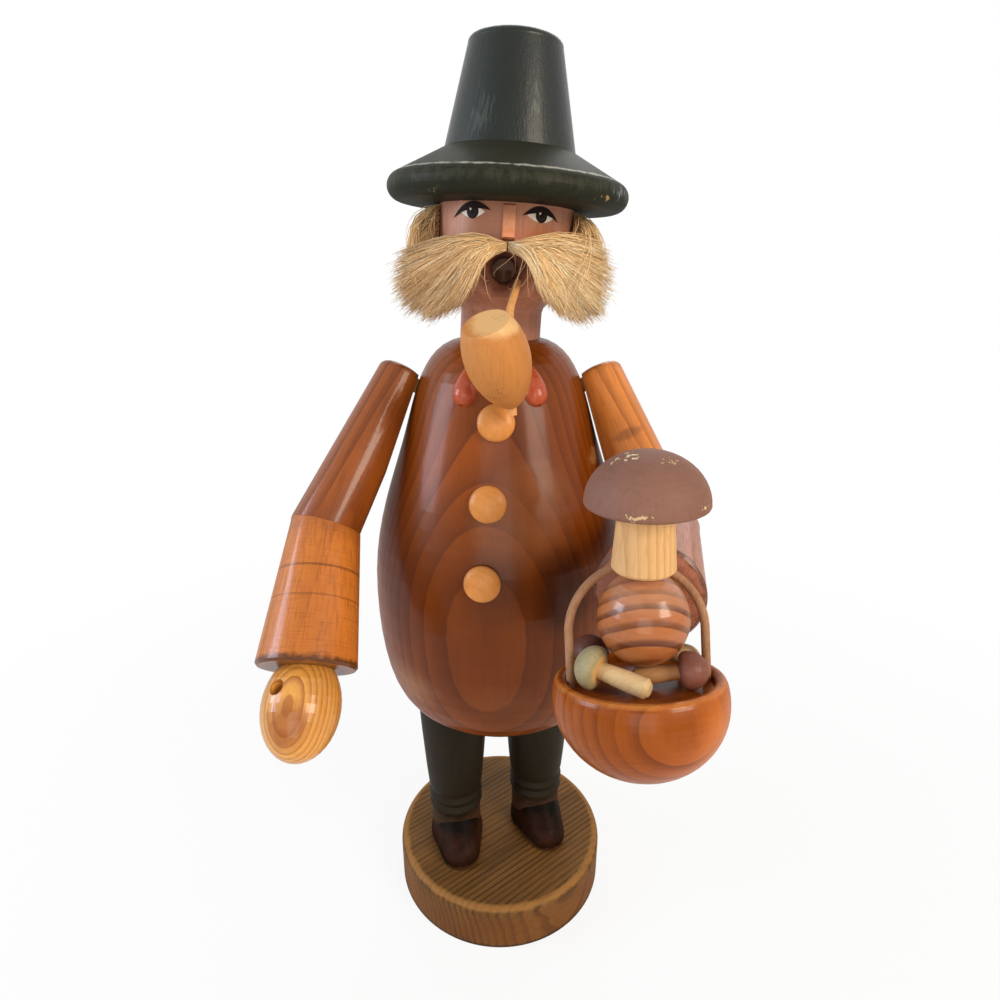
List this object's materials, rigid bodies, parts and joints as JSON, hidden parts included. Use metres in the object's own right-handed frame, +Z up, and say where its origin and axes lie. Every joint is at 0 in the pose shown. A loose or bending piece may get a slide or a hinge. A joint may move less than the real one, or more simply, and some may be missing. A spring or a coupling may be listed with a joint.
{
  "type": "incense smoker figure",
  "caption": "Turned wooden incense smoker: a mushroom gatherer in a tall hat, with jointed arms, a hanging basket and a pipe; the upper body lifts off its seat plug.",
  "frame": {"origin": "centre of the base disc's underside", "axes": "+Z up; the figure faces -Y, and its right hand is at -X"},
  "size_m": [0.1416, 0.1546, 0.3206],
  "materials": {
    "base_wood": "brushed, stained and waxed",
    "boot_wood": "dark stain, satin",
    "foot_wood": "dark stain, worn",
    "bare_wood": "plain",
    "coat_pine": "gloss lacquer over stain",
    "sleeve_pine": "gloss lacquer over stain",
    "hand_pine": "clear lacquer",
    "hat_wood": "dark green gloss, worn edges",
    "skin_wood": "thin stain, matt",
    "collar_wood": "red gloss stain",
    "button_wood": "clear lacquer",
    "cap_wood": "matt stain",
    "basket_wood": "clear lacquer",
    "reed": "natural, matt",
    "pale_cap": "thin stain",
    "tan_cap": "thin stain",
    "brown_cap": "stain, satin",
    "dark_cap": "dark stain",
    "hair": "straw-blond fur",
    "thread": "dark thread",
    "tin_plate": "plain tinplate",
    "steel": "plain"
  },
  "bodies": {
    "stand": {"base_disc": "base_wood", "right_leg": "boot_wood", "left_leg": "boot_wood", "right_foot": "foot_wood", "left_foot": "foot_wood", "foot_dowels": "bare_wood", "leg_dowels": "bare_wood", "seat_plug": "bare_wood", "incense_tray": "tin_plate", "tray_nail": "steel"},
    "upper_body": {"coat": "coat_pine", "button_lower": "button_wood", "button_middle": "button_wood", "button_upper": "button_wood", "right_collar_end": "collar_wood", "left_collar_end": "collar_wood", "right_shoulder_dowel": "bare_wood", "left_shoulder_dowel": "bare_wood", "head": "skin_wood", "nose": "skin_wood", "hat_brim": "hat_wood", "hat_crown": "hat_wood", "hat_dowel": "bare_wood", "right_moustache": "hair", "left_moustache": "hair", "moustache_tie": "thread", "hair_band": "hair"},
    "right_arm": {"right_upper_arm": "sleeve_pine", "right_elbow_dowel": "bare_wood", "right_forearm": "sleeve_pine", "right_wrist_dowel": "bare_wood", "right_hand": "hand_pine"},
    "left_arm": {"left_upper_arm": "sleeve_pine", "left_elbow_dowel": "bare_wood", "left_forearm": "sleeve_pine", "left_wrist_dowel": "bare_wood", "left_hand": "hand_pine", "big_mushroom_stem": "bare_wood", "big_mushroom_cap": "cap_wood", "big_mushroom_peg": "bare_wood"},
    "basket": {"basket_bowl": "basket_wood", "basket_handle": "reed", "tan_mushroom_stem": "bare_wood", "tan_mushroom_cap": "tan_cap", "brown_mushroom_stem": "brown_cap", "brown_mushroom_cap": "brown_cap", "dark_mushroom": "dark_cap", "pale_mushroom": "pale_cap"},
    "pipe": {"pipe_bowl": "button_wood", "pipe_stem": "reed"}
  },
  "joints": [
    {"name": "body_lift", "type": "slide", "parent": "stand", "child": "upper_body", "axis": [0, 0, 1], "range_m": [0, 0.12]},
    {"name": "right_shoulder", "type": "hinge", "parent": "upper_body", "child": "right_arm", "pos_m": [-0.03501, 0, 0.2199], "axis": [-0.891, 0, 0.454], "range_deg": [-20, 45]},
    {"name": "left_shoulder", "type": "hinge", "parent": "upper_body", "child": "left_arm", "pos_m": [0.03501, 0, 0.2199], "axis": [-0.9205, 0, -0.3907], "range_deg": [-15, 45]},
    {"name": "basket_swing", "type": "hinge", "parent": "left_arm", "child": "basket", "pos_m": [0.03468, -0.07538, 0.18367], "axis": [-0.0144, -0.9613, 0.2753], "range_deg": [-2.5, 3]},
    {"name": "pipe_pull", "type": "slide", "parent": "upper_body", "child": "pipe", "axis": [-0.162, -0.8956, -0.4142], "range_m": [0, 0.008]}
  ]
}
